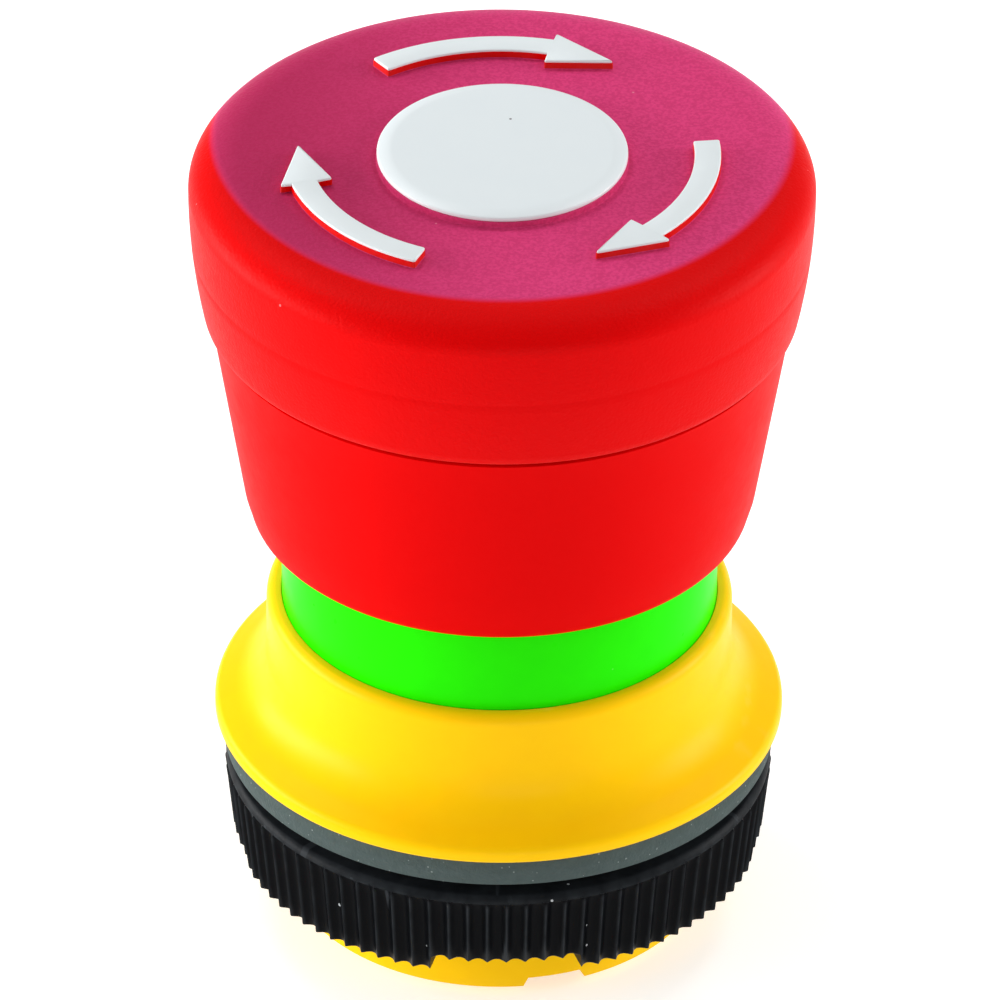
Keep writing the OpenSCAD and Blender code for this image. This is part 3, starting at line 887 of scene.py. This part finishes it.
class ESTOP_OT_sleeve(bpy.types.Operator):
    """Builds the green position sleeve with its inner web"""

    bl_idname = "estop.sleeve"
    bl_label = "Position sleeve"

    def execute(self, context):
        outline = rounded([(11.3, 7.0, 0.1), (11.3, 16.2, 0.15), (3.6, 16.2, 0.05), (3.6, 15.2, 0.05),
                           (10.3, 15.2, 0.3), (10.3, 7.0, 0.1)], 4)
        settle(turned("PositionSleeve", outline, 256), "plunger", "sleeve_green", "indicator_sleeve")
        return {"FINISHED"}


# ---- housing pieces ----

class ESTOP_OT_bezel(bpy.types.Operator):
    """Builds the yellow bezel with its neck, hollow flare and flange"""

    bl_idname = "estop.bezel"
    bl_label = "Bezel"

    def execute(self, context):
        s = context.scene.stop_housing
        big, neck, top, base = s.flange / MM, s.neck / MM, s.neck_top / MM, s.gasket / MM
        rim, edge, dish, slope = 0.6, 0.5, 2.9, 66
        outline = [(9.0, base), (big - 0.25, base), (big - 0.1, base + 0.05), (big, base + 0.18)]
        outline += arc(big - edge, base + 0.45, edge, 0, slope, 10)
        outline += arc(neck + dish, top - 3.35, dish, 180 + slope, 180, 24)
        outline += [(neck, top - 2.2), (neck, top - 1.2)]
        outline += arc(neck - rim, top - rim, rim, 0, 80, 10)
        outline += [(11.36, top), (11.32, top - 0.03), (11.32, base + 0.7), (9.0, base + 0.7)]
        settle(turned("Bezel", outline, 256, 30), "housing", "yellow_plastic", "bezel")
        return {"FINISHED"}


class ESTOP_OT_gasket(bpy.types.Operator):
    """Builds the grey panel gasket"""

    bl_idname = "estop.gasket"
    bl_label = "Panel gasket"

    def execute(self, context):
        s = context.scene.stop_housing
        big, thick = s.flange / MM - 0.35, s.gasket / MM
        bore = 11.65
        outline = rounded([(bore, 0.0, 0.0), (big - 0.12, 0.0, 0.15), (big, thick * 0.5, 0.6),
                           (big - 0.08, thick, 0.1), (bore, thick, 0.0)], 5)
        settle(turned("PanelGasket", outline, 256), "housing", "gasket_grey", "panel_gasket")
        return {"FINISHED"}


class ESTOP_OT_rear_body(bpy.types.Operator):
    """Builds the threaded shank with its bulkhead, snap spigot and bayonet notches"""

    bl_idname = "estop.rear_body"
    bl_label = "Rear body"

    def execute(self, context):
        s = context.scene.stop_housing
        r, base, inner = s.shank / MM, s.gasket / MM, 9.6
        pitch, depth, low, high, rows = 1.5, 0.6, -6.2, -1.05, 84
        notches, at, width, rise = 4, math.radians(-74), math.radians(16), 0.5
        outline = [(4.6, 0.45), (8.8, 0.45), (8.8, -4.45), (inner, -4.45), (inner, -6.75), (10.0, -6.75),
                   (10.0, -7.3), (inner, -7.3), (inner, -8.2), (inner, -8.9), (10.94, -8.9), (r, -8.84),
                   (r, -8.2), (r, low)]
        outline += [(r, low + (high - low) * k / rows) for k in range(1, rows + 1)]
        outline += [(r, 0.0), (r + 0.6, 0.0), (r + 0.6, base), (8.95, base), (8.95, base + 0.7),
                    (9.1, base + 0.72), (8.85, base + 1.25), (7.9, base + 1.25), (7.9, base), (4.6, base)]

        def shift(x, z, a):
            if z < -8.5:
                step = 2 * math.pi / notches
                off = abs((a - at + step * 4.5) % step - step / 2)
                if off < width / 2:
                    z += rise
            if low < z < high and x > r - 0.01:
                turn = ((z - low) / pitch - a / (2 * math.pi)) % 1.0
                fade = min(1.0, (z - low) / 0.4, (high - z) / 0.4)
                x -= depth * fade * max(0.0, min(1.0, (abs(turn - 0.5) * 2 - 0.45) / 0.47))
            return x, z

        settle(turned("RearBody", outline, 270, 30, shift), "housing", "yellow_plastic", "rear_body")
        return {"FINISHED"}


class ESTOP_OT_ring_nut(bpy.types.Operator):
    """Builds the ribbed ring nut from equal wedges, with its tool notches"""

    bl_idname = "estop.ring_nut"
    bl_label = "Ring nut"

    def execute(self, context):
        s = context.scene.stop_housing
        crest, depth, bore = s.nut / MM, s.rib_depth / MM, s.shank / MM + 0.1
        top, low, taper, steps = -0.85, -6.15, 0.5, 12

        def wall(z):
            return crest - taper * (top - 0.55 - z) / (top - 0.55 - low)

        # radius, height and how deep the flute is there, from the bore round to the bore
        rows = [(bore + 0.08, top, 0), (crest - 0.38, top, 0), (crest - 0.28, top - 0.04, 0),
                (crest - 0.10, top - 0.30, 0), (crest - 0.06, top - 0.44, 0),
                (crest - 0.08, top - 0.50, 0.35), (crest - 0.02, top - 0.62, 0.8),
                (crest - 0.01, top - 0.76, 1)]
        rows += [(wall(z), z, 1) for z in (-2.2, -3.0, -3.8, -4.6, -5.2, low + 0.12)]
        rows += [(wall(low) - 0.03, low + 0.05, 1), (wall(low) - 0.1, low, 0.9), (bore + 0.08, low, 0),
                 (bore, low + 0.08, 0), (bore, top - 0.08, 0)]
        pitch = 2 * math.pi / s.ribs
        verts, faces, n = [], [], len(rows)
        for k in range(steps + 1):
            u = abs(k / steps - 0.5) * 2
            dip = math.sin(math.pi / 2 * u ** 0.62) ** 2
            a = pitch * (k / steps)
            for r, z, rib in rows:
                r -= depth * dip * rib
                verts.append((r * math.cos(a) * MM, r * math.sin(a) * MM, z * MM))
        for k in range(steps):
            for i in range(n):
                j = (i + 1) % n
                faces.append((k * n + i, (k + 1) * n + i, (k + 1) * n + j, k * n + j))
        nut = grown("RingNut", new_object("wedge", verts, faces),
                    tree_named("Notched ring of wedges", notched_ring_tree),
                    {"Wedges": s.ribs, "Notches": s.notches, "Notch width": math.radians(33),
                     "Notch start": math.radians(-88), "Notch height": 0.8 * MM, "Edge below": -5.6 * MM,
                     "Material": finish_of("nut_black")}, 40)
        settle(nut, "ring_nut", "nut_black", "fixing_nut")
        return {"FINISHED"}


class ESTOP_OT_springs(bpy.types.Operator):
    """Builds the return spring, the turn spring and the two latch springs"""

    bl_idname = "estop.springs"
    bl_label = "Springs"

    def execute(self, context):
        tree = tree_named("Wire coil", coil_tree)
        base = context.scene.stop_housing.gasket
        across = {"Coils": 5.0, "Radius": 0.62 * MM, "Wire": 0.13 * MM, "Length": 2.8 * MM,
                  "Base": 6.4 * MM, "Along X": 1.0}
        for name, node, body, values in (
            ("ReturnSpring", "return_spring", "housing",
             {"Coils": 6.0, "Radius": 7.0 * MM, "Wire": 0.4 * MM, "Length": 15.2 * MM - base, "Base": base}),
            ("TurnSpring", "turn_spring", "plunger",
             {"Coils": 4.0, "Radius": 6.6 * MM, "Wire": 0.35 * MM, "Length": 6.85 * MM, "Base": 16.2 * MM}),
            ("LatchSpringRight", "latch_spring_right", "housing", across),
            ("LatchSpringLeft", "latch_spring_left", "housing", {**across, "Turned": math.pi}),
        ):
            seed = new_object(name + "Seed", [(0, 0, 0)], [])
            spring = grown(name, seed, tree, {**values, "Material": finish_of("spring_steel")}, 60)
            if "Along X" in values:
                spring.data.transform(Matrix.Translation((0, 0, -5.6 * MM)))
            settle(spring, body, "spring_steel", node)
            if node == "return_spring":
                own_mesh(spring)
        return {"FINISHED"}


class ESTOP_OT_inner_parts(bpy.types.Operator):
    """Gives the stem, hub, latch and clips that stay as modelled their finishes"""

    bl_idname = "estop.inner_parts"
    bl_label = "Inner parts"

    FINISHES = {
        "stem": "steel", "head_hub": "dark_nylon", "thrust_washer": "natural_nylon",
        "stem_clip": "spring_steel", "pusher": "yellow_plastic", "pusher_clip": "spring_steel",
        "guide_bush": "natural_nylon", "stem_seal": "seal_rubber", "latch_carrier": "dark_nylon",
        "carrier_ring": "spring_steel", "latch_pawl_left": "steel", "latch_pawl_right": "steel",
    }

    def execute(self, context):
        for node, slot in self.FINISHES.items():
            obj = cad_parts[node]
            for s in obj.material_slots:
                s.material = finish_of(slot)
        return {"FINISHED"}


# ---- stage ----

FLOOR = -0.0095  # under the rear body, m
LIGHTS_AIM = (0, 0, 0.015)
LIGHTS = (  # name, place in m, size in m, power in W
    ("Left bank", (-0.45, 0.04, 0.09), (0.50, 0.17), 3.2),
    ("Right bank", (0.46, 0.06, 0.13), (0.22, 0.24), 1.5),
    ("Back left key", (-0.20, 0.24, 0.44), (0.12, 0.12), 0.5),
    ("Back right key", (0.20, 0.24, 0.44), (0.12, 0.12), 0.42),
    ("Front fill", (0.10, -0.60, 0.10), (0.40, 0.20), 0.75),
)
CAMERA_AIM, DISTANCE = (0, 0, 0.01425), 0.711  # m
ELEVATION, ROLL = math.radians(33.95), math.radians(0.4)
LENS, SENSOR = 495.0, 36.0  # mm


def area_light(name, at, size_xy, power):
    """A white rectangular light, turned towards the object."""
    data = bpy.data.lights.new(name, "AREA")
    data.shape = "RECTANGLE"
    data.size, data.size_y = size_xy
    data.energy = power
    obj = bpy.data.objects.new(name, data)
    obj.location = at
    obj.rotation_euler = (Vector(LIGHTS_AIM) - Vector(at)).to_track_quat("-Z", "Y").to_euler()
    bpy.context.scene.collection.objects.link(obj)


def soft_world():
    """A pale dome that is dimmer on the front side, so that the front of the object keeps its full colour."""
    world = bpy.data.worlds.new("Studio")
    world.use_nodes = True
    tree = world.node_tree
    where = tree.nodes.new("ShaderNodeTexCoord")
    apart = tree.nodes.new("ShaderNodeSeparateXYZ")
    tree.links.new(where.outputs["Generated"], apart.inputs[0])
    front = tree.nodes.new("ShaderNodeMapRange")
    front.interpolation_type = "SMOOTHSTEP"
    tree.links.new(apart.outputs["Y"], front.inputs["Value"])
    front.inputs["From Min"].default_value = -0.25
    front.inputs["From Max"].default_value = -0.95
    front.inputs["To Min"].default_value = 0.50
    front.inputs["To Max"].default_value = 0.22
    tree.links.new(front.outputs[0], tree.nodes["Background"].inputs["Strength"])
    tree.nodes["Background"].inputs["Color"].default_value = (1.0, 1.0, 1.0, 1.0)
    return world


class ESTOP_OT_stage(bpy.types.Operator):
    """Sets the floor, the soft studio lights and the camera"""

    bl_idname = "estop.stage"
    bl_label = "Stage"

    def execute(self, context):
        scene = context.scene
        scene.view_settings.view_transform = "Standard"
        corners = [(-2, -2, FLOOR), (2, -2, FLOOR), (2, 2, FLOOR), (-2, 2, FLOOR)]
        floor = new_object("Floor", corners, [(0, 1, 2, 3)])
        m = Material("Floor, pale", (0.75, 0.75, 0.75), Roughness=0.9, Emission_Color=(1, 1, 1, 1),
                     Emission_Strength=0.50)
        grain = m.group(grain_group(), Cells_per_metre=40.0, Coarse_share=0.3)
        m.blend(m.math("MULTIPLY", grain.outputs["Mottle"], 0.03), (0.7, 0.7, 0.7))
        floor.data.materials.append(m.mat)
        scene.world = soft_world()
        for name, at, size_xy, power in LIGHTS:
            area_light(name, at, size_xy, power)
        camera = bpy.data.cameras.new("Camera")
        camera.lens = LENS
        camera.sensor_width = SENSOR
        camera.clip_start = 0.05
        camera.clip_end = 10.0
        obj = bpy.data.objects.new("Camera", camera)
        aim = Vector(CAMERA_AIM)
        obj.location = aim + Vector((0, -math.cos(ELEVATION), math.sin(ELEVATION))) * DISTANCE
        look = (aim - obj.location).to_track_quat("-Z", "Y")
        obj.rotation_euler = (look @ Quaternion((0, 0, 1), ROLL)).to_euler()
        scene.collection.objects.link(obj)
        scene.camera = obj
        return {"FINISHED"}


class ESTOP_PT_panel(bpy.types.Panel):
    """Buttons for building the stop button piece by piece"""

    bl_idname = "ESTOP_PT_panel"
    bl_label = "Stop button"
    bl_space_type = "VIEW_3D"
    bl_region_type = "UI"
    bl_category = "Stop button"

    def draw(self, context):
        for group in (context.scene.stop_head, context.scene.stop_housing, context.scene.stop_finish):
            box = self.layout.box()
            for key in group.bl_rna.properties.keys():
                if key not in {"rna_type", "name"}:
                    box.prop(group, key)
        for op in OPERATORS:
            self.layout.operator(op.bl_idname)


OPERATORS = (
    ESTOP_OT_stage, ESTOP_OT_head_cap, ESTOP_OT_arrows, ESTOP_OT_centre_disc, ESTOP_OT_skirt,
    ESTOP_OT_sleeve, ESTOP_OT_bezel, ESTOP_OT_gasket, ESTOP_OT_rear_body, ESTOP_OT_ring_nut,
    ESTOP_OT_springs, ESTOP_OT_inner_parts,
)
GROUPS = (HeadSettings, HousingSettings, FinishSettings)


def register():
    for cls in (*GROUPS, *OPERATORS, ESTOP_PT_panel):
        bpy.utils.register_class(cls)
    bpy.types.Scene.stop_head = PointerProperty(type=HeadSettings)
    bpy.types.Scene.stop_housing = PointerProperty(type=HousingSettings)
    bpy.types.Scene.stop_finish = PointerProperty(type=FinishSettings)


def unregister():
    del bpy.types.Scene.stop_finish
    del bpy.types.Scene.stop_housing
    del bpy.types.Scene.stop_head
    for cls in reversed((*GROUPS, *OPERATORS, ESTOP_PT_panel)):
        bpy.utils.unregister_class(cls)


def main():
    register()
    for op in OPERATORS:
        group, name = op.bl_idname.split(".")
        getattr(getattr(bpy.ops, group), name)()


if __name__ == "__main__":
    main()
